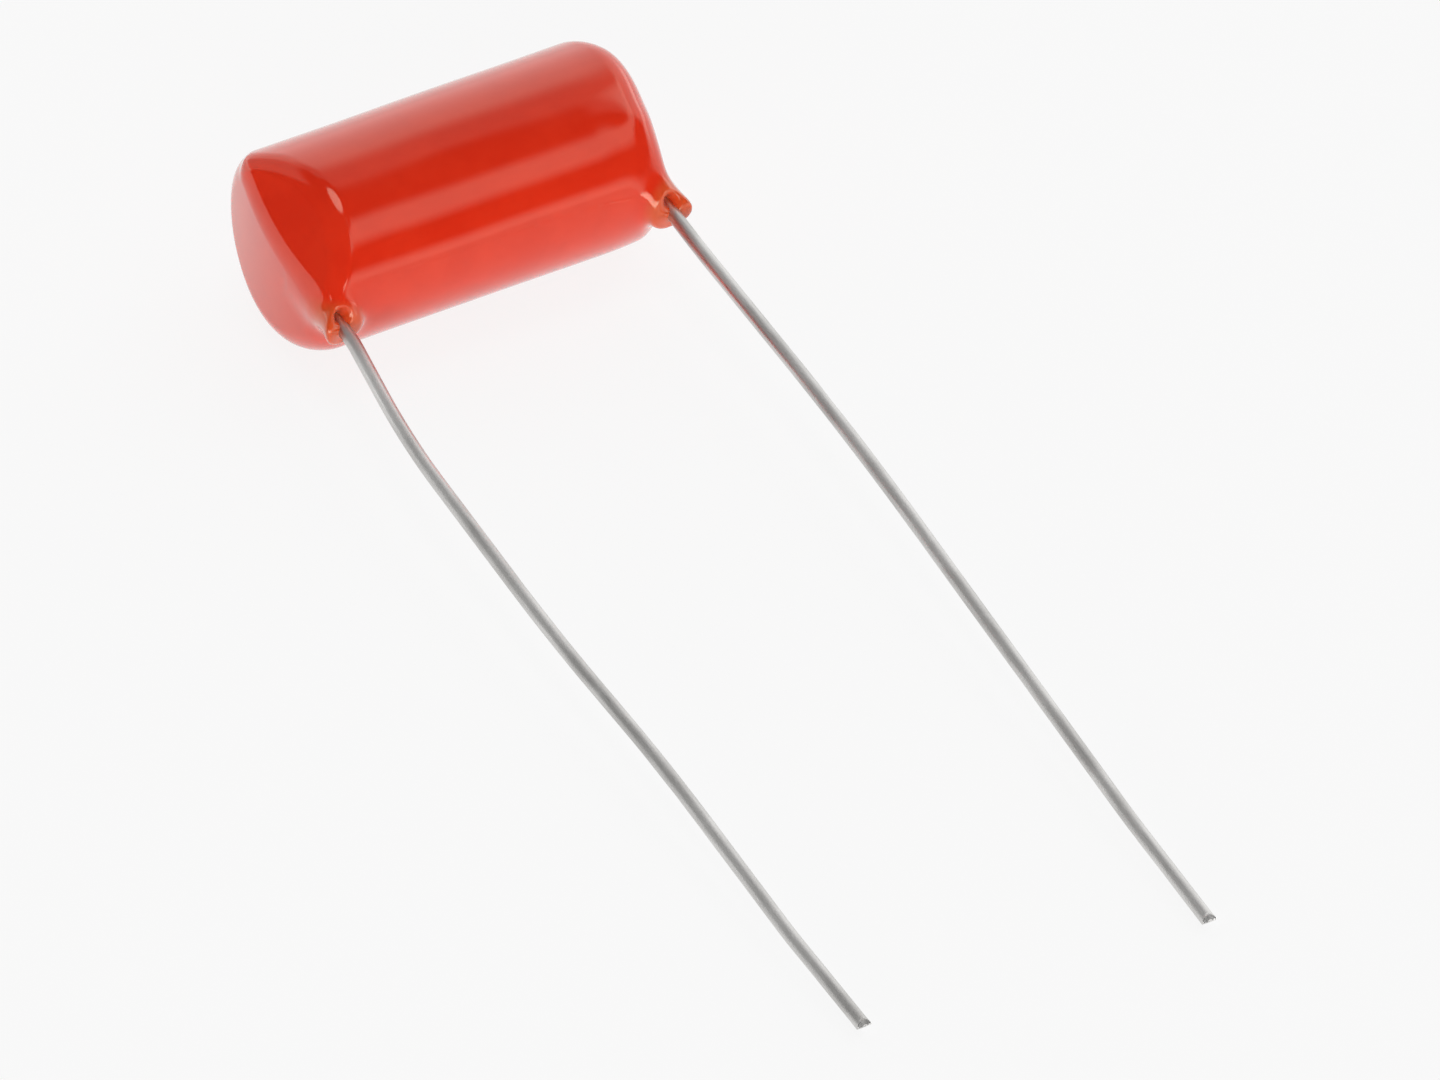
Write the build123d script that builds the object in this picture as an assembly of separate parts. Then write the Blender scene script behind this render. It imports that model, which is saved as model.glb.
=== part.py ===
"""Film capacitor with a dipped epoxy coat and two radial wire leads, lying on its belly.

The roll of film and foil is wound about the X axis and pressed oval.  Each end carries a layer
of sprayed metal with a lead wire sunk in it, and the whole roll is dipped in epoxy, which bulges
over the ends and runs a little way down each wire as a collar.  The sizes start at the roll:
the coat, the wires and the collars are laid out from it.

The pieces are made in the frame of the leads: X from lead to lead, the wires leaving towards -Y,
Z across the thickness, and the origin in the middle of the roll.  settle() then lays the finished
part on the ground, resting on its belly and on the tip of the longer wire.
"""
from build123d import *
from math import asin, atan2, cos, degrees, hypot, radians, sin, tan
import os

# ---- roll of film and foil (mm) ----
ROLL_LENGTH = 18.6         # X
ROLL_HEIGHT = 10.6         # Y, along the leads
ROLL_THICKNESS = 9.1       # Z, across the leads

# ---- sprayed metal on each end of the roll ----
CONTACT_THICKNESS = 0.75

# ---- leads ----
WIRE_DIAMETER = 0.813      # 20 AWG tinned wire
WIRE_SINK = 0.26           # depth of the wire in the contact
INNER_MARGIN = 1.7         # the wire ends this far short of the roll's far side
LEFT_FREE = 59.5           # length of each wire beyond its collar
RIGHT_FREE = 60.8
LEFT_BOW = 1.05            # widest outward bow of each wire
RIGHT_BOW = 0.43
STRAIGHT_TIP = 6.0         # straight end of each wire
CLIP_SLOPE = 38.0          # slope of the two faces that the cutter left
CLIP_OFFSET = 0.12         # ridge of the clipped end off the wire's axis
ARC_SHARE = 0.45           # share of the shorter straight run that an arc may use

# Bends of each wire by hand: share of its free length, share of its bow.
LEFT_BENDS = [(0.016, 0.0), (0.153, 0.97), (0.44, 1.0), (0.62, 0.46), (0.865, 0.5), (1.0, 0.25)]
RIGHT_BENDS = [(0.051, 0.0), (0.32, 1.03), (0.86, -0.68), (1.0, -0.60)]

# ---- coat ----
COAT_WALL = 0.9            # over the flanks of the roll
END_COVER = 0.64           # over the wire, in the middle of each end
END_BULGE = 0.75           # bulge of each end seen from above
END_ROUNDING = 1.5         # edge between the flanks and each end
FLANK_FULLNESS = 1.03      # end arcs of the oval section against those of a true ellipse

# ---- collar of resin round each wire ----
COLLAR_WALL = 0.85         # resin round the wire at the lip
COLLAR_ROOT_WALL = 0.1     # resin round the wire at the start of the collar, inside the body
COLLAR_SUNK = 3.0          # from the flank of the body back to the start of the collar
COLLAR_REACH = 0.7         # from the flank out to the lip
COLLAR_BLEND = 0.5         # fillet between the collar and the body
LIP_CHAMFER = 0.25
LEFT_LIP_SLANT = 14.0      # each lip stands further out on its outer side
RIGHT_LIP_SLANT = 4.0
FUNNEL_LENGTH = 2.2        # recess in the lip round the wire, a cone that starts inside the wire
FUNNEL_SPREAD = 0.55       # gap between the wire and the rim of the recess
FUNNEL_START = 1.1         # depth of the tip of the recess below the lip
FUNNEL_TILT = 33.0         # the recess opens towards +Z by this angle

WIRE_RADIUS = WIRE_DIAMETER / 2
LEAD_X = ROLL_LENGTH / 2 + CONTACT_THICKNESS + WIRE_RADIUS - WIRE_SINK
INNER_END = ROLL_HEIGHT / 2 - INNER_MARGIN
BODY_LENGTH = 2 * (LEAD_X + WIRE_RADIUS + END_COVER)
BODY_HEIGHT = ROLL_HEIGHT + 2 * COAT_WALL
BODY_THICKNESS = ROLL_THICKNESS + 2 * COAT_WALL
LIP = BODY_HEIGHT / 2 + COLLAR_REACH
TOUCH = 0.002              # points this near to a skin lie on it


def section_plane(x):
    """Plane across the body at x, with its own x along Y and its own y along Z."""
    return Plane(origin=(x, 0, 0), x_dir=(0, 1, 0), z_dir=(1, 0, 0))


def oval(width, depth):
    """Oval of four tangent arcs, wider than deep."""
    side_radius = FLANK_FULLNESS * depth ** 2 / (2 * width)
    side_centre = width / 2 - side_radius
    top_radius = (side_centre ** 2 + (depth / 2) ** 2 - side_radius ** 2) / (depth - 2 * side_radius)
    top_centre = top_radius - depth / 2
    joint = degrees(atan2(top_centre, side_centre))
    arcs = [
        CenterArc((side_centre, 0), side_radius, -joint, 2 * joint),
        CenterArc((0, -top_centre), top_radius, joint, 180 - 2 * joint),
        CenterArc((-side_centre, 0), side_radius, 180 - joint, 2 * joint),
        CenterArc((0, top_centre), top_radius, 180 + joint, 180 - 2 * joint),
    ]
    return make_face(Curve() + arcs)


def plan_view():
    """Outline of the body from above, with a bulge at each end."""
    half_length = BODY_LENGTH / 2
    half_height = BODY_HEIGHT / 2
    shoulder = half_length - END_BULGE
    outline = Line((-shoulder, half_height), (shoulder, half_height))
    outline += ThreePointArc((shoulder, half_height), (half_length, 0), (shoulder, -half_height))
    outline += Line((shoulder, -half_height), (-shoulder, -half_height))
    outline += ThreePointArc((-shoulder, -half_height), (-half_length, 0), (-shoulder, half_height))
    return make_face(outline)


def body_form():
    """Oval body with bulging ends and rounded rims."""
    tube = extrude(section_plane(-BODY_LENGTH / 2) * oval(BODY_HEIGHT, BODY_THICKNESS), amount=BODY_LENGTH)
    body = tube & extrude(plan_view(), amount=BODY_THICKNESS, both=True)
    rims = body.edges().filter_by(GeomType.LINE, reverse=True)
    return fillet(rims, END_ROUNDING)


def collar(side, slant):
    """Skirt of resin that flares along one wire and ends in a slanted lip."""
    length = COLLAR_SUNK + COLLAR_REACH
    root = WIRE_RADIUS + COLLAR_ROOT_WALL
    flare = (COLLAR_WALL - COLLAR_ROOT_WALL) / length
    overshoot = 2 * WIRE_DIAMETER
    skirt = Cone(root, root + flare * (length + overshoot), length + overshoot)
    skirt = Pos(0, -LIP + (length - overshoot) / 2, 0) * Rot(90, 0, 0) * skirt
    outward = Vector(-side * sin(radians(slant)), -cos(radians(slant)), 0)
    skirt = split(skirt, Plane(origin=(0, -LIP, 0), z_dir=outward), keep=Keep.BOTTOM)
    lip_edge = skirt.edges().sort_by(Axis.Y)[0]
    return Pos(side * LEAD_X, 0, 0) * chamfer(lip_edge, LIP_CHAMFER)


def lip_funnel(side):
    """Recess that the lip leaves round the wire, deeper on the upper side."""
    rim = WIRE_RADIUS + FUNNEL_SPREAD
    funnel = Cone(WIRE_RADIUS / 4, rim, FUNNEL_LENGTH, align=(Align.CENTER, Align.CENTER, Align.MIN))
    throat = (side * LEAD_X, -(LIP - FUNNEL_START), 0)
    return Pos(throat) * Rot(90 - FUNNEL_TILT, 0, 0) * funnel


def seam(form, first, second):
    """Edges of a fused form where the skins of the two joined solids meet."""
    def lies_on(solid, point):
        return min(face.distance_to(point) for face in solid.faces()) < TOUCH
    middles = [(edge, Vertex(*(edge @ 0.5))) for edge in form.edges()]
    return [edge for edge, middle in middles if lies_on(first, middle) and lies_on(second, middle)]


def coat_form():
    """Outside of the coat: the body with a collar blended into it at each wire."""
    form = body = body_form()
    for side, slant in ((-1, LEFT_LIP_SLANT), (1, RIGHT_LIP_SLANT)):
        bead = collar(side, slant)
        form = form + bead
        form = fillet(seam(form, body, bead), COLLAR_BLEND)
    for side in (-1, 1):
        form = form - lip_funnel(side)
    return form


def roll_slice(x, length):
    """Stretch of the pressed-oval roll that starts at x."""
    return extrude(section_plane(x) * SlotOverall(ROLL_HEIGHT, ROLL_THICKNESS), amount=length)


def wound_element():
    """The roll of film and foil, all of its turns as one solid."""
    return roll_slice(-ROLL_LENGTH / 2, ROLL_LENGTH)


def lead(side, free_length, bow, bends):
    """One wire, from its inner end across the contact to its clipped tip."""
    corners = [(side * LEAD_X, INNER_END)]
    corners += [(side * (LEAD_X + bow * out), -(LIP + free_length * along)) for along, out in bends]
    steps = [(b[0] - a[0], b[1] - a[1]) for a, b in zip(corners, corners[1:])]
    free = [hypot(*step) for step in steps]
    free[0] -= INNER_END + LIP
    free[-1] -= STRAIGHT_TIP
    radii = []
    for (step, after), room in zip(zip(steps, steps[1:]), zip(free, free[1:])):
        turn = abs(Vector(*step).get_angle(Vector(*after)))
        radii.append(ARC_SHARE * min(room) / tan(radians(turn / 2)))
    print("lead", side, "arc radii", [round(radius) for radius in radii])
    path = FilletPolyline(*corners, radius=radii)
    start = Plane(origin=(*corners[0], 0), z_dir=(0, -1, 0))
    wire = sweep(start * Circle(WIRE_RADIUS), path=path)
    return wire - clip_cutter(corners[-1], steps[-1])


def clip_cutter(tip, step):
    """What side cutters take off a wire end, leaving a ridge across it."""
    reach = 2 * WIRE_DIAMETER
    slope = tan(radians(CLIP_SLOPE))
    outline = Polyline(
        (-reach, -slope * (reach + CLIP_OFFSET)),
        (CLIP_OFFSET, 0),
        (reach, -slope * (reach - CLIP_OFFSET)),
        (reach, reach),
        (-reach, reach),
        close=True,
    )
    across = Vector(0, 0, 1).cross(Vector(*step, 0))
    face_plane = Plane(origin=(*tip, 0), x_dir=(0, 0, 1), z_dir=across)
    return extrude(face_plane * make_face(outline), amount=reach, both=True)


def end_contact(side):
    """Layer of sprayed metal on one end of the roll, before the wire is sunk in it."""
    return roll_slice(side * ROLL_LENGTH / 2, side * CONTACT_THICKNESS)


def build():
    """All the pieces by node name, in the frame of the leads."""
    lead_left = lead(-1, LEFT_FREE, LEFT_BOW, LEFT_BENDS)
    lead_right = lead(1, RIGHT_FREE, RIGHT_BOW, RIGHT_BENDS)
    roll = wound_element()
    contact_left = end_contact(-1) - lead_left
    contact_right = end_contact(1) - lead_right
    inner = [roll, contact_left, contact_right, lead_left, lead_right]
    coat = coat_form()
    for piece in inner:
        coat = coat - piece
    return {
        "epoxy_coat": coat,
        "wound_element": roll,
        "end_contact_left": contact_left,
        "end_contact_right": contact_right,
        "lead_left": lead_left,
        "lead_right": lead_right,
    }


def settle(pieces):
    """Lay the part on the ground with the origin under the middle of its bounding box."""
    reach = LIP + max(LEFT_FREE, RIGHT_FREE)
    droop = asin((BODY_THICKNESS / 2 - WIRE_RADIUS) / reach)
    lying = {name: Rot(degrees(droop), 0, 0) * piece for name, piece in pieces.items()}
    box = Compound(children=[Compound(piece.solids()) for piece in lying.values()]).bounding_box()
    drop = Pos(-box.center().X, -box.center().Y, -box.min.Z)
    return {name: drop * piece for name, piece in lying.items()}


os.makedirs("parts", exist_ok=True)
for node_name, shape in settle(build()).items():
    export_step(shape, "parts/" + node_name + ".step")
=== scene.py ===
"""Looks of the film capacitor: dipped epoxy coat, tinned wire leads, white table and soft light.

Shapes are worked out in millimetres in the frame of the leads, as in part.py: X from lead to lead,
the wires leaving towards -Y, Z across the thickness, and the origin in the middle of the roll.
placed() then moves them to where the part lies.
"""
import math

import bpy
import numpy as np
from mathutils import Matrix, Vector


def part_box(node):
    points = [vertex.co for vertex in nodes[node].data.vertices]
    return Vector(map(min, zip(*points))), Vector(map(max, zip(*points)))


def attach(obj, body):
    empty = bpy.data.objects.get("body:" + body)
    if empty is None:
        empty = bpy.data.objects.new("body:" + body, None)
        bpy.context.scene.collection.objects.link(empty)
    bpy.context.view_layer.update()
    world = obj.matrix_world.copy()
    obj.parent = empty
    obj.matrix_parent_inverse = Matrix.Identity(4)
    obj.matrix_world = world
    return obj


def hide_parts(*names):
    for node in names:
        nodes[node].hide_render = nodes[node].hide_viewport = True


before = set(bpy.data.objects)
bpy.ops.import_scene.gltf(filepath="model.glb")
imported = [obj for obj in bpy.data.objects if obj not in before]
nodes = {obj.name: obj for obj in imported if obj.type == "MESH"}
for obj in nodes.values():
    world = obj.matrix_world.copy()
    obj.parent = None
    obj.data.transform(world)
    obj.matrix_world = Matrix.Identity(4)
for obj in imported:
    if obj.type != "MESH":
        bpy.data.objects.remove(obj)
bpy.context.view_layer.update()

MM = 0.001
LEFT, RIGHT = -1, 1

# ---- camera ----
AZIMUTH = math.radians(-28.58)
ELEVATION = math.radians(40.68)
LENS_MM = 1000.0
SENSOR_MM = 36.0
VIEW_WIDTH_MM = 78.61      # what the image spans at the body
BODY_LEFT_MM = 14.72       # the middle of the body shows this far left of the image's middle
BODY_ABOVE_MM = 18.83      # and this far above it
CLIP_START_M = 0.01
CLIP_END_M = 20

# ---- roll and its contacts (mm) ----
ROLL_HALF_LENGTH = 9.3
ROLL_HALF_HEIGHT = 5.3
ROLL_HALF_THICKNESS = 4.55
CONTACT_THICKNESS = 0.75
CONTACT_SPREAD = 0.985     # share of the roll's end that the sprayed metal covers
CONTACT_THINNEST = 0.05
CONTACT_GRAIN = 0.04       # unevenness of its outer face
CONTACT_RINGS = 24
CONTACT_SEGMENTS = 96
CONTACT_SEED = 21
SEAM = 0.001               # between the roll and the metal, so that the faces don't flicker

# ---- body (mm); angles round it are counted from the lead side upwards ----
HALF_LENGTH = 11.243
HALF_HEIGHT = 6.2
HALF_THICKNESS = 5.45
FLANK_FULLNESS = 1.03      # 1 gives the flanks an ellipse's own radius
END_BULGE = 0.75
LEFT_EXTRA = 0.22          # the left end stands out by this much more
THINNEST = 0.15            # the resin is nowhere thinner than about this over the roll
REAR_ROUNDING = 1.5        # edge round each end, away from the leads
LEAD_ROUNDING = 1.9        # and beside them
LEAD_SIDE_FACING = math.radians(25.0)
LEAD_SIDE_FOCUS = 1.5      # power of the cosine with which the lead side fades out round the body

# ---- soft shoulder at the right end (mm) ----
SHOULDER_START = 6.8       # from here outwards the body slopes down on its lead side
SHOULDER_DROP = 0.9        # by this much at most
SHOULDER_CURVE = 2.2       # power with which it drops

# ---- slanted facet, which takes off the upper edge of the left end (mm) ----
FACET_X = 11.42            # its plane passes a point this far out
FACET_ACROSS = 2.25        # and this far across, in the direction that it faces
FACET_FACING = math.radians(72.0)
FACET_TILT = math.radians(36.0)
FACET_EDGE = 0.5           # rounding between the facet and the end
FACET_ROUNDING = 0.8       # rounding between the facet and the flanks
FACET_FADE = (-0.8, 0.4)   # it sets in as the facet's distance, less the end's, rises from one to the other

# ---- rib of resin down the right end to its collar (mm) ----
RIB_TOP = (9.45, -2.7, 3.2)
RIB_FOOT = (9.65, -5.3, 0.9)
RIB_RADIUS = 0.95
RIB_BLEND = 0.6

# ---- slow unevenness of the resin (mm) ----
WAVINESS = 0.03
WAVE_COUNT = 7
WAVE_RATES = (0.35, 0.95)  # slowest and fastest, in radians to the millimetre
WAVE_PHASES = (0, 6.28)
WAVE_SEED = 7

# ---- collars (mm) ----
WIRE_RADIUS = 0.4065
LEAD_X = 10.1965
SKIRT_START = 3.2
SKIRT_START_BLEND = 0.1
SKIRT_ROOT_RADIUS = 0.5065
SKIRT_LIP_RADIUS = 1.24
SKIRT_BLEND = 0.55
TWO_LOBES = 0.05           # the skirt swells by this much in two lobes
THREE_LOBES = 0.035        # and by this much in three
LOBE_TURN = 0.6
LIP = 6.9
LIP_SHORTFALL = 0.08       # the middle of the lip stops this short
LIP_SLANTS = {LEFT: 0.16, RIGHT: 0.06}     # slope with which it runs on outwards
LIP_DIP = 0.30             # it dips by this much on top
LIP_DIP_HEIGHTS = (0.1, 1.1)               # between these heights over the middle of the wire
LIP_EARS = 0.05            # and stands out by this much at both sides
LIP_ROUNDING = 0.22
NOTCH_START = 5.9
NOTCH_ABOVE = 0.38         # the recess's axis starts this far above the wire
NOTCH_RADIUS = 0.15        # where it starts
NOTCH_TILT = math.radians(33.0)
NOTCH_FLARE = math.radians(21.0)
NOTCH_ROUNDING = 0.15

# ---- mesh of the skin (mm) ----
SKIN_CELL = 0.16
SKIN_MARGIN = 0.5          # the grid reaches this far past the body
SETTLING_ROUNDS = 3        # in which the points are moved onto the true surface
LEAST_STEEPNESS = 0.2
SLOPE_STEP = 0.01
COLLAR_MARGIN = 0.5        # the collar's paler resin starts this far before its skirt does
HALVINGS = 20

# ---- leads (mm): length beyond the lip, widest bow, and bends as shares of both ----
LEADS = {
    "lead_left": {
        "side": LEFT,
        "free_length": 59.5,
        "bow": 1.05,
        "bends": [(0.016, 0.0), (0.153, 0.97), (0.44, 1.0), (0.62, 0.46), (0.865, 0.5), (1.0, 0.25)],
    },
    "lead_right": {
        "side": RIGHT,
        "free_length": 60.8,
        "bow": 0.43,
        "bends": [(0.051, 0.0), (0.32, 1.03), (0.86, -0.68), (1.0, -0.60)],
    },
}
STRAIGHT_TIP = 6.0
ARC_SHARE = 0.45
ARC_POINTS = 13
RING_SPACING = 0.2
RING_SEGMENTS = 40

# ---- tips: side cutters leave two slopes that meet in a ridge (mm) ----
CLIP_SLOPE = math.tan(math.radians(38.0))
CLIP_OFFSET = 0.12         # the ridge lies this far above the middle of the wire
TIP_FLARE = 0.012
TIP_FLARE_LENGTH = 0.5
CAP_SHARES = (0.75, 0.5, 0.25)             # rings of the cut faces, as shares of the radius

# ---- faint dents in the wires (mm) ----
DENT_COUNT = 26
DENTS_START = 6.0          # from the inner end of the wire
DENTS_STOP = 2.0           # before the tip
DENT_LENGTHS = (0.25, 1.6)
DENT_DEPTHS = (0.002, 0.012)
DENT_FOCUS = 4             # power of the cosine with which a dent fades out round the wire
DENT_SEEDS = {"lead_left": 11, "lead_right": 12}

# ---- table ----
TABLE_HALF_M = 2.0
TABLE_COLOUR = (0.95, 0.95, 0.95, 1)
TABLE_GLOW_SHARE = 0.87    # of what the camera, mirrors and glass see of the table

# ---- light tent: turn and height of each panel, in degrees, and its strength ----
# A turn is counted anticlockwise, seen from above, from straight in front of the part or straight behind it.
# Turns and heights are given as from, to, and the soft widths before and after.
PANELS = (
    ("behind", (-85, 0, 20, 14), (-20, 38, 5, 16), 0.66),      # broad, behind on the right
    ("behind", (-85, 0, 20, 14), (-20, 63, 5, 6), 0.36),       # the same, carried on higher and dimmer
    ("behind", (10, 54, 10, 8), (-20, 48, 5, 10), 0.5),        # behind on the left
    ("behind", (10, 54, 10, 8), (-20, 8, 5, 6), 0.9),          # brighter at its foot
    ("in front", (10, 105, 6, 20), (46, 54, 11, 9), 1.05),     # strip high in front on the right
    ("in front", (-40, 52, 20, 14), (-20, 3, 5, 14), 1.2),     # low in front
    ("in front", (-62, -4, 12, 10), (-20, 14, 5, 6), 3.9),     # brightest, low in front on the left
    ("in front", (52, 110, 10, 25), (-20, 8, 5, 6), 0.9),      # low on the right
    ("in front", (-200, 200, 1, 1), (80, 91, 4, 1), 2.6),      # overhead, all the way round
    ("in front", (10, 24, 5, 5), (65, 70, 3, 3), 0.2),         # faint patch above the strip
)
AMBIENT = 0.06

LONGEST_REACH = LIP + max(lead["free_length"] for lead in LEADS.values())
DROOP = math.asin((HALF_THICKNESS - WIRE_RADIUS) / LONGEST_REACH)


def middle(node):
    low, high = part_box(node)
    return (low + high) / 2


BODY = middle("wound_element")


def turned(directions):
    """Directions in the frame of the leads, as they are where the part lies."""
    cos, sin = math.cos(DROOP), math.sin(DROOP)
    x, y, z = directions.T
    return np.stack((x, y * cos - z * sin, y * sin + z * cos), axis=1)


def placed(points):
    """Points in mm in the frame of the leads, as metres where the part lies."""
    return turned(points) * MM + np.array(BODY)


def toward(azimuth, elevation):
    """Unit vector from the object to a viewer at that azimuth and elevation."""
    return Vector((
        math.sin(azimuth) * math.cos(elevation),
        -math.cos(azimuth) * math.cos(elevation),
        math.sin(elevation),
    ))


def new_object(name, data):
    obj = bpy.data.objects.new(name, data)
    bpy.context.scene.collection.objects.link(obj)
    return obj


def make_camera():
    data = bpy.data.cameras.new("camera")
    data.lens = LENS_MM
    data.sensor_width = SENSOR_MM
    data.clip_start = CLIP_START_M
    data.clip_end = CLIP_END_M
    camera = new_object("camera", data)
    back = toward(AZIMUTH, ELEVATION)
    right = Vector((0, 0, 1)).cross(back).normalized()
    up = back.cross(right)
    target = BODY + right * BODY_LEFT_MM * MM - up * BODY_ABOVE_MM * MM
    position = target + back * VIEW_WIDTH_MM * MM * LENS_MM / SENSOR_MM
    camera.matrix_world = Matrix.Translation(position) @ Matrix((right, up, back)).transposed().to_4x4()
    bpy.context.scene.camera = camera


# ---- form of the coat: fields that are negative inside and grow outwards by about 1 to the mm ----
def smooth_step(low, high, value):
    share = np.clip((value - low) / (high - low), 0, 1)
    return share * share * (3 - 2 * share)


def smooth_min(a, b, width):
    """Both forms together, blended where their fields differ by less than the width."""
    share = np.maximum(width - np.abs(a - b), 0) / width
    return np.minimum(a, b) - share * share * share * width / 6


def smooth_max(a, b, width):
    """Where both forms overlap, blended in the same way."""
    return -smooth_min(-a, -b, width)


def rounded_max(a, b, radius):
    """Distance to where two forms overlap, with a round edge."""
    a, b = a + radius, b + radius
    return np.minimum(np.maximum(a, b), 0) + np.hypot(np.maximum(a, 0), np.maximum(b, 0)) - radius


def oval_distance(y, z):
    """Distance to the oval section of four tangent arcs."""
    side_radius = FLANK_FULLNESS * HALF_THICKNESS ** 2 / HALF_HEIGHT
    side_centre = HALF_HEIGHT - side_radius
    room = HALF_THICKNESS - side_radius
    top_radius = (side_centre ** 2 + HALF_THICKNESS ** 2 - side_radius ** 2) / (2 * room)
    top_centre = top_radius - HALF_THICKNESS
    y, z = np.abs(y), np.abs(z)
    beside = np.hypot(y - side_centre, z) - side_radius
    above = np.hypot(y, z + top_centre) - top_radius
    in_side_arc = (y - side_centre) * top_centre > z * side_centre
    return np.where(in_side_arc, beside, above)


def facet_distance(x, y, z):
    """Distance to the plane of the slanted facet at the left end."""
    across = z * math.sin(FACET_FACING) - y * math.cos(FACET_FACING)
    return (-x - FACET_X) * math.cos(FACET_TILT) + (across - FACET_ACROSS) * math.sin(FACET_TILT)


def body_distance(x, y, z):
    """Distance to the body: an oval with domed ends, a facet on the left and a shoulder on the right."""
    end_radius = (HALF_HEIGHT ** 2 + END_BULGE ** 2) / (2 * END_BULGE)
    outward = np.maximum(x, -x - LEFT_EXTRA)
    end = np.hypot(outward - (HALF_LENGTH - end_radius), y) - end_radius
    facing = np.arctan2(z, -y)
    lead_side = np.maximum(np.cos(facing - LEAD_SIDE_FACING), 0) ** LEAD_SIDE_FOCUS
    past = np.clip((x - SHOULDER_START) / (HALF_LENGTH - SHOULDER_START), 0, 1)
    drop = SHOULDER_DROP * lead_side * past ** SHOULDER_CURVE
    rounding = REAR_ROUNDING + (LEAD_ROUNDING - REAR_ROUNDING) * lead_side
    facet = facet_distance(x, y, z)
    rounding = rounding + (FACET_ROUNDING - rounding) * smooth_step(*FACET_FADE, facet - end)
    return rounded_max(oval_distance(y, z) + drop, rounded_max(end, facet, FACET_EDGE), rounding)


def roll_distance(x, y, z):
    """Distance to the roll in its thinnest cover of resin, edges rounded."""
    straight = ROLL_HALF_HEIGHT - ROLL_HALF_THICKNESS
    section = np.hypot(np.maximum(np.abs(y) - straight, 0), z) - ROLL_HALF_THICKNESS
    return rounded_max(section - THINNEST, np.abs(x) - ROLL_HALF_LENGTH - THINNEST, 2 * THINNEST)


def rib_distance(x, y, z):
    """Distance to the rib beside the right lead."""
    points = np.stack((x, y, z), axis=-1) - np.array(RIB_TOP)
    run = np.array(RIB_FOOT) - np.array(RIB_TOP)
    share = np.clip(points @ run / (run @ run), 0, 1)
    return np.linalg.norm(points - share[..., None] * run, axis=-1) - RIB_RADIUS


def skirt_distance(x, y, z, side):
    """Skirt of resin round one wire, with a lip that dips on top and stands out at both sides."""
    across = side * x - LEAD_X
    along = -y
    radius = np.hypot(across, z)
    angle = np.arctan2(z, across)
    flare = (SKIRT_LIP_RADIUS - SKIRT_ROOT_RADIUS) / (LIP - SKIRT_START)
    lobes = TWO_LOBES * np.sin(2 * angle + LOBE_TURN + side) + THREE_LOBES * np.sin(3 * angle + 2 * side)
    wall = radius - SKIRT_ROOT_RADIUS - flare * (along - SKIRT_START) - lobes
    dip = LIP_DIP * smooth_step(*LIP_DIP_HEIGHTS, z)
    lip = LIP - LIP_SHORTFALL + LIP_SLANTS[side] * across - dip + LIP_EARS * np.cos(2 * angle)
    skirt = smooth_max(wall, along - lip, 3 * LIP_ROUNDING)
    return smooth_max(skirt, SKIRT_START - along, SKIRT_START_BLEND)


def notch_distance(x, y, z, side):
    """Recess in the lip, which opens upwards along a tilted cone."""
    across = side * x - LEAD_X
    along = -y - NOTCH_START
    above = z - NOTCH_ABOVE
    run = along * math.cos(NOTCH_TILT) + above * math.sin(NOTCH_TILT)
    height = above * math.cos(NOTCH_TILT) - along * math.sin(NOTCH_TILT)
    return (np.hypot(across, height) - NOTCH_RADIUS) * math.cos(NOTCH_FLARE) - run * math.sin(NOTCH_FLARE)


def waves(x, y, z):
    """Slow unevenness from -1 to 1, the same on every run."""
    rng = np.random.default_rng(WAVE_SEED)
    total = 0
    for _ in range(WAVE_COUNT):
        direction = rng.normal(size=3)
        direction *= rng.uniform(*WAVE_RATES) / np.linalg.norm(direction)
        phase = rng.uniform(*WAVE_PHASES)
        total = total + np.sin(direction[0] * x + direction[1] * y + direction[2] * z + phase)
    return total / WAVE_COUNT


def coat_distance(x, y, z):
    """Distance to the whole coat: body, rib and collars with their recesses."""
    form = smooth_min(body_distance(x, y, z), roll_distance(x, y, z), 2 * THINNEST)
    form = smooth_min(form, rib_distance(x, y, z), 3 * RIB_BLEND)
    for side in (LEFT, RIGHT):
        form = smooth_min(form, skirt_distance(x, y, z, side), 3 * SKIRT_BLEND)
    for side in (LEFT, RIGHT):
        form = smooth_max(form, -notch_distance(x, y, z, side), 3 * NOTCH_ROUNDING)
    return form + WAVINESS * (1.0 + waves(x, y, z))


def slope(field, points):
    """Direction in which the field grows fastest at each point."""
    columns = []
    for axis in range(3):
        shift = np.zeros(3)
        shift[axis] = SLOPE_STEP
        columns.append(field(*(points + shift).T) - field(*(points - shift).T))
    return np.stack(columns, axis=1) / (2 * SLOPE_STEP)


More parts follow.
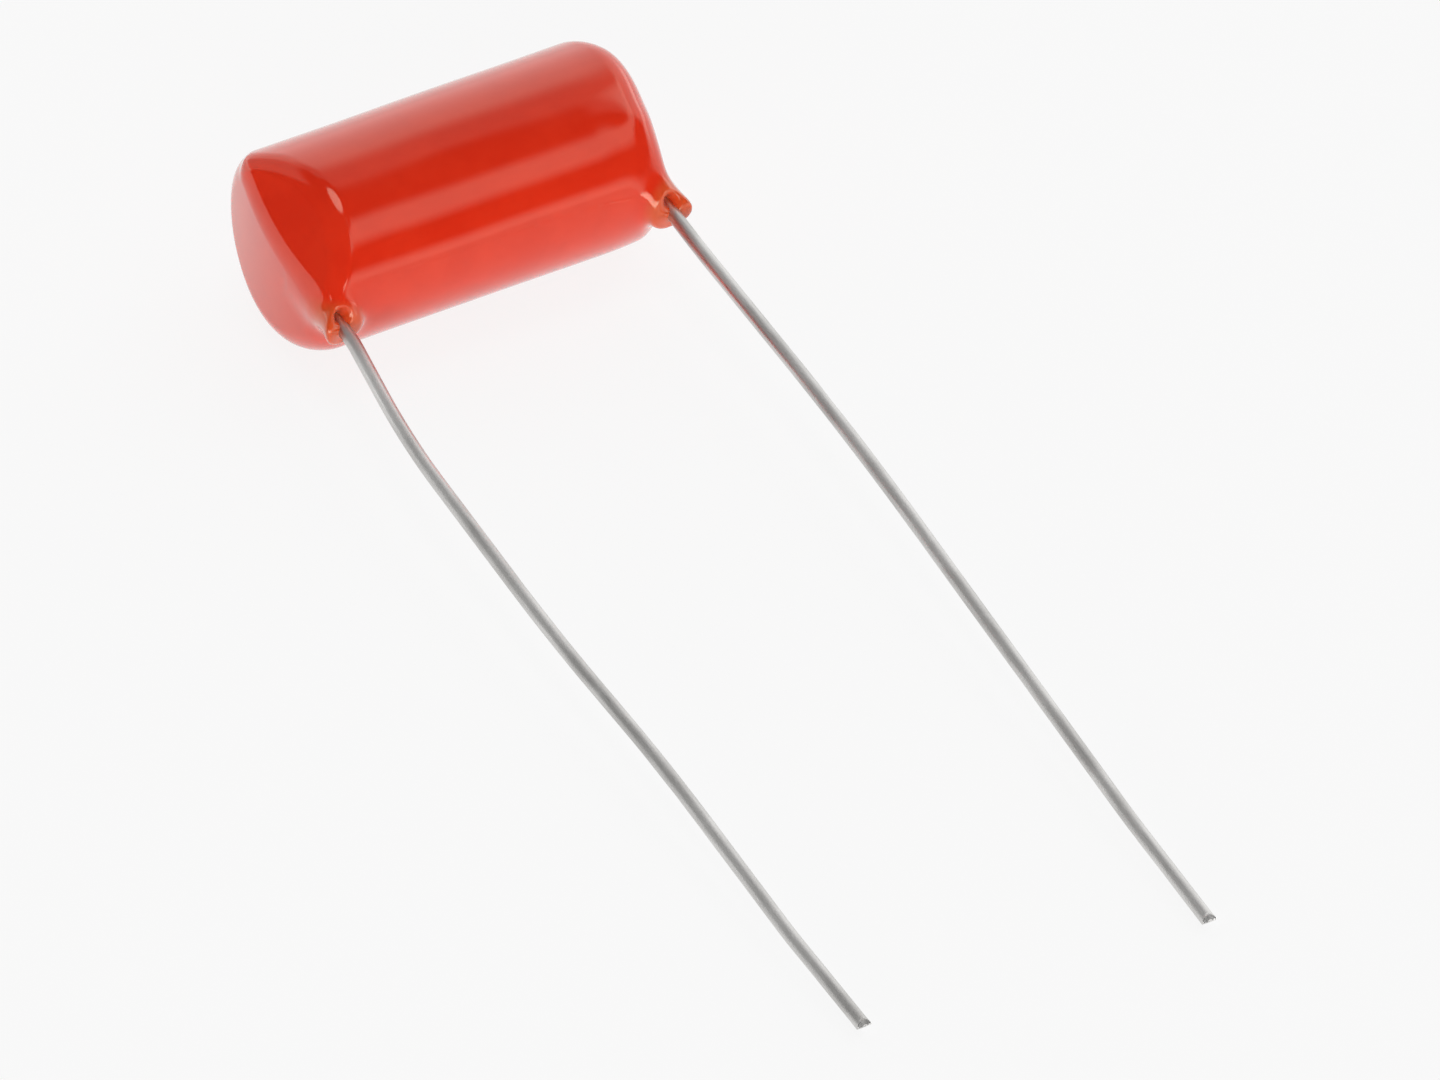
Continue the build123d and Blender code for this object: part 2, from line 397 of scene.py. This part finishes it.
def surface_net(field, low, high, cell):
    """Closed mesh of quads where the field changes sign, one vertex to a cell."""
    axes = [np.arange(a, b + cell, cell) for a, b in zip(low, high)]
    value = field(*np.meshgrid(*axes, indexing="ij"))
    cells = tuple(n - 1 for n in value.shape)
    total = np.zeros(cells + (3,))
    count = np.zeros(cells)
    corner = [slice(0, -1), slice(1, None)]
    for axis in range(3):
        others = [other for other in range(3) if other != axis]
        for first in (0, 1):
            for second in (0, 1):
                start = [None] * 3
                start[axis], start[others[0]], start[others[1]] = corner[0], corner[first], corner[second]
                end = list(start)
                end[axis] = corner[1]
                a, b = value[tuple(start)], value[tuple(end)]
                cut = (a < 0) != (b < 0)
                share = np.where(cut, a / np.where(cut, a - b, 1), 0)
                total[..., axis] += np.where(cut, share, 0)
                total[..., others[0]] += np.where(cut, first, 0)
                total[..., others[1]] += np.where(cut, second, 0)
                count += cut
    used = count > 0
    index = np.full(cells, -1)
    index[used] = np.arange(used.sum())
    where = np.argwhere(used)
    points = np.array(low) + cell * (where + total[used] / count[used][:, None])
    quads = []
    for axis in range(3):
        before, after = [slice(1, -1)] * 3, [slice(1, -1)] * 3
        before[axis], after[axis] = slice(0, -1), slice(1, None)
        a, b = value[tuple(before)] < 0, value[tuple(after)] < 0
        second, third = (axis + 1) % 3, (axis + 2) % 3
        for rising in (True, False):
            at = np.argwhere(a & ~b if rising else ~a & b)
            at[:, second] += 1
            at[:, third] += 1
            ring = []
            for back_second, back_third in ((1, 1), (0, 1), (0, 0), (1, 0)):
                cell_at = at.copy()
                cell_at[:, second] -= back_second
                cell_at[:, third] -= back_third
                ring.append(index[tuple(cell_at.T)])
            quads.append(np.stack(ring if rising else ring[::-1], axis=1))
    return points, np.concatenate(quads)


def mesh_from(name, points, faces, normals=None):
    """Smooth-shaded mesh from points in mm, with its own normals where they are given."""
    mesh = bpy.data.meshes.new(name)
    mesh.from_pydata(placed(points).tolist(), [], faces)
    mesh.polygons.foreach_set("use_smooth", [True] * len(mesh.polygons))
    if normals is not None:
        mesh.normals_split_custom_set_from_vertices(turned(normals).tolist())
    mesh.update()
    return mesh


def make_coat():
    """Skin of the dipped resin, in place of the CAD coat."""
    low = (-HALF_LENGTH - SKIN_MARGIN, -LIP - 3 * SKIN_MARGIN, -HALF_THICKNESS - SKIN_MARGIN)
    high = (HALF_LENGTH + SKIN_MARGIN, HALF_HEIGHT + SKIN_MARGIN, HALF_THICKNESS + SKIN_MARGIN)
    points, quads = surface_net(coat_distance, low, high, SKIN_CELL)
    for _ in range(SETTLING_ROUNDS):
        rise = slope(coat_distance, points)
        steepness = np.sum(rise * rise, axis=1, keepdims=True)
        points = points - coat_distance(*points.T)[:, None] * rise / np.maximum(steepness, LEAST_STEEPNESS)
    rise = slope(coat_distance, points)
    normals = rise / np.linalg.norm(rise, axis=1, keepdims=True)
    mesh = mesh_from("epoxy_skin", points, quads.tolist(), normals)
    x, y, z = points.T
    body = body_distance(x, y, z)
    left, right = (COLLAR_MARGIN + (body - skirt_distance(x, y, z, side)) for side in (LEFT, RIGHT))
    mask = mesh.attributes.new("collar", "FLOAT", "POINT")
    mask.data.foreach_set("value", np.clip(np.maximum(left, right), 0, 1).astype(np.float32))
    skin = new_object("epoxy_skin", mesh)
    mesh.materials.append(epoxy_material())
    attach(skin, "root")
    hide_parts("epoxy_coat")


def ring_faces(rings, segments):
    """Faces between rings of points, each ring joined to the next."""
    faces = []
    for ring in range(rings - 1):
        for column in range(segments):
            a = ring * segments + column
            b = ring * segments + (column + 1) % segments
            faces.append((a, b, b + segments, a + segments))
    return faces


def fan_faces(start, segments, tip):
    """Faces from a ring of points to one point."""
    return [(start + column, start + (column + 1) % segments, tip) for column in range(segments)]


def end_reach(y, z, side):
    """How far out the body goes at a point of its end, less the thinnest resin."""
    near = np.full(y.shape, ROLL_HALF_LENGTH)
    far = np.full(y.shape, HALF_LENGTH)
    for _ in range(HALVINGS):
        half_way = (near + far) / 2
        inside = body_distance(side * half_way, y, z) < -THINNEST
        near = np.where(inside, half_way, near)
        far = np.where(inside, far, half_way)
    return near


def make_contact(name, side):
    """Sprayed metal on one end of the roll: a grainy layer, thinner where the end slopes back."""
    turn = np.linspace(0, 2 * math.pi, CONTACT_SEGMENTS, endpoint=False)
    straight = ROLL_HALF_HEIGHT - ROLL_HALF_THICKNESS
    rim_half = np.sign(np.round(np.cos(turn), 6))      # rounded, so that it is 0 midway
    rim_y = ROLL_HALF_THICKNESS * np.cos(turn) + straight * rim_half
    rim_z = ROLL_HALF_THICKNESS * np.sin(turn)
    rng = np.random.default_rng(CONTACT_SEED + side)
    rings = []
    for share in np.linspace(1, 0, CONTACT_RINGS, endpoint=False):
        y, z = rim_y * share * CONTACT_SPREAD, rim_z * share * CONTACT_SPREAD
        depth = np.clip(end_reach(y, z, side) - ROLL_HALF_LENGTH, CONTACT_THINNEST, CONTACT_THICKNESS)
        depth = depth - rng.uniform(0, CONTACT_GRAIN, CONTACT_SEGMENTS)
        rings.append(np.stack((side * (ROLL_HALF_LENGTH + depth), y, z), axis=1))
    base = rings[0].copy()
    base[:, 0] = side * (ROLL_HALF_LENGTH + SEAM)
    middle_depth = CONTACT_THICKNESS - CONTACT_GRAIN / 2
    centres = np.array([[side * (ROLL_HALF_LENGTH + middle_depth), 0, 0], [base[0, 0], 0, 0]])
    points = np.concatenate([base] + rings + [centres])
    top, bottom = len(points) - 2, len(points) - 1
    faces = ring_faces(1 + CONTACT_RINGS, CONTACT_SEGMENTS)
    faces += fan_faces(CONTACT_RINGS * CONTACT_SEGMENTS, CONTACT_SEGMENTS, top)
    faces += [(b, a, tip) for a, b, tip in fan_faces(0, CONTACT_SEGMENTS, bottom)]
    if side == LEFT:
        faces = [tuple(reversed(face)) for face in faces]
    mesh = mesh_from(name + "_spray", points, faces)
    layer = new_object(name + "_spray", mesh)
    mesh.materials.append(sprayed_material())
    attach(layer, "root")
    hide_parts(name)


# ---- leads ----
def lead_path(side, free_length, bow, bends):
    """Middle line of one wire, with an arc at each listed bend."""
    corners = [np.array((side * LEAD_X, -SKIRT_START))]
    for along, out in bends:
        corners.append(np.array((side * (LEAD_X + bow * out), -(LIP + free_length * along))))
    lengths = [np.linalg.norm(b - a) for a, b in zip(corners, corners[1:])]
    rooms = list(lengths)
    rooms[0] -= LIP - SKIRT_START
    rooms[-1] -= STRAIGHT_TIP
    line = [corners[0]]
    for before, corner, after, room in zip(corners, corners[1:], corners[2:], zip(rooms, rooms[1:])):
        arc_reach = ARC_SHARE * min(room)
        into = corner + (before - corner) / np.linalg.norm(before - corner) * arc_reach
        out = corner + (after - corner) / np.linalg.norm(after - corner) * arc_reach
        for share in np.linspace(0, 1, ARC_POINTS):
            line.append(into * (1 - share) ** 2 + corner * 2 * share * (1 - share) + out * share ** 2)
    line.append(corners[-1])
    return np.array(line)


def resampled(line, spacing):
    """The same line with evenly spaced points, and how far along it each one lies."""
    run = np.concatenate(([0], np.cumsum(np.linalg.norm(np.diff(line, axis=0), axis=1))))
    at = np.linspace(0, run[-1], int(run[-1] / spacing) + 1)
    return np.stack([np.interp(at, run, line[:, axis]) for axis in (0, 1)], axis=1), at


def wire_dents(run, angle, seed):
    """Depth of the dents at each place along the wire and each angle round it."""
    rng = np.random.default_rng(seed)
    places = rng.uniform(DENTS_START, run[-1] - DENTS_STOP, DENT_COUNT)
    lengths = rng.uniform(*DENT_LENGTHS, DENT_COUNT)
    turns = rng.uniform(0, 2 * math.pi, DENT_COUNT)
    depths = rng.uniform(*DENT_DEPTHS, DENT_COUNT)
    return sum(
        depth * np.exp(-((run[:, None] - place) / length) ** 2)
        * np.maximum(np.cos(angle - turn), 0) ** DENT_FOCUS
        for place, length, turn, depth in zip(places, lengths, turns, depths)
    )


def clip_drop(height):
    """How far the cut lies behind the ridge of the tip at that height across the wire."""
    return CLIP_SLOPE * np.abs(height - CLIP_OFFSET)


def make_lead(name):
    """One wire: a swept tube with faint dents and a clipped tip that flares a little."""
    line, run = resampled(lead_path(**LEADS[name]), RING_SPACING)
    tangent = np.gradient(line, axis=0)
    tangent /= np.linalg.norm(tangent, axis=1, keepdims=True)
    normal = np.stack((tangent[:, 1], -tangent[:, 0]), axis=1)
    angle = np.linspace(0, 2 * math.pi, RING_SEGMENTS, endpoint=False)
    to_tip = run[-1] - run
    flare = TIP_FLARE * np.exp(-(to_tip / TIP_FLARE_LENGTH) ** 2)
    radius = WIRE_RADIUS + flare[:, None] - wire_dents(run, angle, DENT_SEEDS[name])
    across = np.cos(angle) * radius
    height = np.sin(angle) * radius
    x = line[:, 0, None] + normal[:, 0, None] * across
    y = line[:, 1, None] + normal[:, 1, None] * across
    tube = np.stack((x, y, height), axis=2)
    for ring, before_tip in enumerate(to_tip):
        push = np.maximum(clip_drop(height[-1]) - before_tip, 0)
        tube[ring, :, :2] -= push[:, None] * tangent[-1]
    cap = []
    for share in CAP_SHARES:
        level = height[-1] * share
        flat = line[-1] + (across[-1] * share)[:, None] * normal[-1] - clip_drop(level)[:, None] * tangent[-1]
        cap.append(np.column_stack((flat, level)))
    centre = line[-1] - clip_drop(0.0) * tangent[-1]
    points = np.concatenate([tube.reshape(-1, 3)] + cap + [np.array([[*centre, 0]])])
    rings = len(tube) + len(cap)
    faces = ring_faces(rings, RING_SEGMENTS)
    faces += fan_faces((rings - 1) * RING_SEGMENTS, RING_SEGMENTS, len(points) - 1)
    faces.append(tuple(reversed(range(RING_SEGMENTS))))
    mesh = mesh_from(name + "_wire", points, faces)
    cap_start = (len(tube) - 1) * RING_SEGMENTS
    for polygon in mesh.polygons:
        if min(polygon.vertices) >= cap_start:
            polygon.use_smooth = False
    wire = new_object(name + "_wire", mesh)
    mesh.materials.append(wire_material())
    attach(wire, "root")
    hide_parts(name)


# ---- materials ----
def material(name):
    """New material, its node tree and its empty output."""
    mat = bpy.data.materials.new(name)
    mat.use_nodes = True
    tree = mat.node_tree
    tree.nodes.clear()
    output = tree.nodes.new("ShaderNodeOutputMaterial")
    return mat, tree, output


def noise(tree, scale, detail, stretch=None):
    """Noise on object coordinates; scale is in features per metre."""
    place = tree.nodes.new("ShaderNodeTexCoord").outputs["Object"]
    if stretch:
        mapping = tree.nodes.new("ShaderNodeMapping")
        mapping.inputs["Scale"].default_value = stretch
        tree.links.new(place, mapping.inputs["Vector"])
        place = mapping.outputs["Vector"]
    texture = tree.nodes.new("ShaderNodeTexNoise")
    texture.inputs["Scale"].default_value = scale
    texture.inputs["Detail"].default_value = detail
    tree.links.new(place, texture.inputs["Vector"])
    return texture.outputs["Fac"]


def spread(tree, value, low, high, out_low=0.0, out_high=1.0):
    """A value between low and high, eased onto the range between out_low and out_high."""
    node = tree.nodes.new("ShaderNodeMapRange")
    node.interpolation_type = "SMOOTHSTEP"
    for socket, number in zip(("From Min", "From Max", "To Min", "To Max"), (low, high, out_low, out_high)):
        node.inputs[socket].default_value = number
    tree.links.new(value, node.inputs["Value"])
    return node.outputs["Result"]


def math_node(tree, operation, first, second=None):
    """Result of one operation on numbers or sockets."""
    node = tree.nodes.new("ShaderNodeMath")
    node.operation = operation
    for socket, value in zip(node.inputs, (first, second)):
        if isinstance(value, (int, float)):
            socket.default_value = value
        elif value is not None:
            tree.links.new(value, socket)
    return node.outputs[0]


def mixed(tree, share, first, second):
    """Colour between two colours, each a tuple or a socket."""
    node = tree.nodes.new("ShaderNodeMix")
    node.data_type = "RGBA"
    factor, first_colour, second_colour = node.inputs[0], node.inputs[6], node.inputs[7]
    tree.links.new(share, factor)
    for socket, colour in ((first_colour, first), (second_colour, second)):
        if isinstance(colour, tuple):
            socket.default_value = (*colour, 1)
        else:
            tree.links.new(colour, socket)
    return node.outputs[2]


def bump(tree, height, distance, under=None):
    """Normal for a height of the surface, whose full rise is the distance in metres."""
    node = tree.nodes.new("ShaderNodeBump")
    node.inputs["Distance"].default_value = distance
    tree.links.new(height, node.inputs["Height"])
    if under is not None:
        tree.links.new(under, node.inputs["Normal"])
    return node.outputs["Normal"]


def epoxy_material():
    """Glossy orange-red resin, paler where it thins out on the collars."""
    mat, tree, output = material("orange_epoxy")
    shader = tree.nodes.new("ShaderNodeBsdfPrincipled")
    mottle = spread(tree, noise(tree, scale=320.0, detail=4.0), 0.35, 0.65)
    body = mixed(tree, mottle, (0.93, 0.031, 0.007), (0.98, 0.037, 0.009))
    collar = tree.nodes.new("ShaderNodeAttribute")
    collar.attribute_name = "collar"
    colour = mixed(tree, collar.outputs["Fac"], body, (0.88, 0.10, 0.025))
    tree.links.new(colour, shader.inputs["Base Color"])
    gloss = spread(tree, noise(tree, scale=900.0, detail=5.0), 0.3, 0.7, out_low=0.05, out_high=0.09)
    tree.links.new(gloss, shader.inputs["Roughness"])
    shader.inputs["IOR"].default_value = 1.47
    shader.inputs["Specular Tint"].default_value = (1.0, 0.85, 0.5, 1)
    shader.inputs["Coat Weight"].default_value = 0.65
    shader.inputs["Coat Roughness"].default_value = 0.06
    shader.inputs["Coat IOR"].default_value = 1.5
    shader.inputs["Sheen Weight"].default_value = 0.25
    shader.inputs["Sheen Roughness"].default_value = 0.35
    shader.inputs["Sheen Tint"].default_value = (1.0, 0.8, 0.7, 1)
    shader.inputs["Subsurface Weight"].default_value = 0.12
    shader.inputs["Subsurface Radius"].default_value = (1.0, 0.22, 0.08)
    shader.inputs["Subsurface Scale"].default_value = 0.0008
    dimples = bump(tree, noise(tree, scale=260.0, detail=1.0), 0.00002)
    skin = bump(tree, noise(tree, scale=1500.0, detail=3.0), 0.0000012, under=dimples)
    tree.links.new(skin, shader.inputs["Normal"])
    tree.links.new(shader.outputs[0], output.inputs[0])
    return mat


def wire_material():
    """Tinned wire: satin metal with dull blotches and fine drawn lines along it."""
    mat, tree, output = material("tinned_wire")
    shader = tree.nodes.new("ShaderNodeBsdfPrincipled")
    streaks = noise(tree, scale=5000.0, detail=3.0, stretch=(1, 0.03, 1))
    blotches = spread(tree, noise(tree, scale=700.0, detail=5.0, stretch=(1, 0.35, 1)), 0.38, 0.68)
    colour = mixed(tree, blotches, (0.68, 0.67, 0.655), (0.56, 0.55, 0.535))
    tree.links.new(colour, shader.inputs["Base Color"])
    shader.inputs["Metallic"].default_value = 1.0
    rough = spread(tree, streaks, 0.3, 0.7, out_low=0.34, out_high=0.48)
    tree.links.new(rough, shader.inputs["Roughness"])
    lines = bump(tree, streaks, 0.0000025)
    skin = bump(tree, noise(tree, scale=1600.0, detail=2.0), 0.000005, under=lines)
    tree.links.new(skin, shader.inputs["Normal"])
    tree.links.new(shader.outputs[0], output.inputs[0])
    return mat


def film_material():
    """Wound film: bright turns seen edge-on as fine lines along the roll."""
    mat, tree, output = material("wound_film")
    shader = tree.nodes.new("ShaderNodeBsdfPrincipled")
    turns = noise(tree, scale=6000.0, detail=2.0, stretch=(0.02, 1, 1))
    tree.links.new(mixed(tree, turns, (0.55, 0.56, 0.58), (0.80, 0.80, 0.79)), shader.inputs["Base Color"])
    rough = spread(tree, turns, 0.3, 0.7, out_low=0.2, out_high=0.45)
    tree.links.new(rough, shader.inputs["Roughness"])
    shader.inputs["Metallic"].default_value = 0.6
    tree.links.new(bump(tree, turns, 0.00001), shader.inputs["Normal"])
    tree.links.new(shader.outputs[0], output.inputs[0])
    return mat


def sprayed_material():
    """Sprayed metal: dull and grainy."""
    mat, tree, output = material("sprayed_metal")
    shader = tree.nodes.new("ShaderNodeBsdfPrincipled")
    grain = noise(tree, scale=4200.0, detail=6.0)
    tree.links.new(mixed(tree, grain, (0.34, 0.34, 0.35), (0.62, 0.61, 0.60)), shader.inputs["Base Color"])
    rough = spread(tree, grain, 0.3, 0.7, out_low=0.5, out_high=0.8)
    tree.links.new(rough, shader.inputs["Roughness"])
    shader.inputs["Metallic"].default_value = 0.85
    tree.links.new(bump(tree, grain, 0.00008), shader.inputs["Normal"])
    tree.links.new(shader.outputs[0], output.inputs[0])
    return mat


def dress(node, mat):
    """The CAD node itself, in its own material."""
    obj = nodes[node]
    obj.data.materials.clear()
    obj.data.materials.append(mat)


# ---- stage ----
def table_material():
    """White table: the camera, mirrors and glass see it near white, other light meets plain white."""
    mat, tree, output = material("table")
    path = tree.nodes.new("ShaderNodeLightPath")
    seen = math_node(tree, "MAXIMUM", path.outputs["Is Camera Ray"], path.outputs["Is Glossy Ray"])
    seen = math_node(tree, "MAXIMUM", seen, path.outputs["Is Transmission Ray"])
    share = math_node(tree, "MULTIPLY", seen, TABLE_GLOW_SHARE)
    diffuse = tree.nodes.new("ShaderNodeBsdfDiffuse")
    diffuse.inputs["Color"].default_value = TABLE_COLOUR
    glow = tree.nodes.new("ShaderNodeEmission")
    glow.inputs["Color"].default_value = (1, 1, 1, 1)
    glow.inputs["Strength"].default_value = 1.0
    mix = tree.nodes.new("ShaderNodeMixShader")
    tree.links.new(share, mix.inputs[0])
    tree.links.new(diffuse.outputs[0], mix.inputs[1])
    tree.links.new(glow.outputs[0], mix.inputs[2])
    tree.links.new(mix.outputs[0], output.inputs[0])
    return mat


def make_table():
    half = TABLE_HALF_M
    corners = [(-half, -half, 0), (half, -half, 0), (half, half, 0), (-half, half, 0)]
    mesh = bpy.data.meshes.new("table")
    mesh.from_pydata(corners, [], [(0, 1, 2, 3)])
    table = new_object("table", mesh)
    mesh.materials.append(table_material())


def window(tree, value, low, high, soft_low, soft_high):
    """1 between low and high, fading out over the soft widths; angles in degrees."""
    radians = math.radians
    rise = spread(tree, value, radians(low - soft_low), radians(low))
    fall = spread(tree, value, radians(high), radians(high + soft_high), out_low=1.0, out_high=0.0)
    return math_node(tree, "MULTIPLY", rise, fall)


def make_light():
    """Light tent: soft-edged panels round the part and overhead, with dim gaps between them."""
    world = bpy.data.worlds.new("world")
    bpy.context.scene.world = world
    world.use_nodes = True
    tree = world.node_tree
    direction = tree.nodes.new("ShaderNodeTexCoord").outputs["Generated"]
    split = tree.nodes.new("ShaderNodeSeparateXYZ")
    tree.links.new(direction, split.inputs[0])
    x, y, z = split.outputs
    elevation = math_node(tree, "ARCSINE", z)
    turn_from = {
        "in front": math_node(tree, "ARCTAN2", x, math_node(tree, "MULTIPLY", y, -1.0)),
        "behind": math_node(tree, "ARCTAN2", math_node(tree, "MULTIPLY", x, -1.0), y),
    }
    glows = []
    for origin, turn, height, strength in PANELS:
        beside = window(tree, turn_from[origin], *turn)
        above = window(tree, elevation, *height)
        glows.append(math_node(tree, "MULTIPLY", math_node(tree, "MULTIPLY", beside, above), strength))
    light = glows[0]
    for glow in glows[1:]:
        light = math_node(tree, "ADD", light, glow)
    background = tree.nodes["Background"]
    background.inputs["Color"].default_value = (1, 1, 1, 1)
    tree.links.new(math_node(tree, "ADD", light, AMBIENT), background.inputs["Strength"])


make_camera()
make_coat()
make_lead("lead_left")
make_lead("lead_right")
dress("wound_element", film_material())
make_contact("end_contact_left", LEFT)
make_contact("end_contact_right", RIGHT)
make_table()
make_light()

bpy.context.scene.view_settings.view_transform = "Standard"
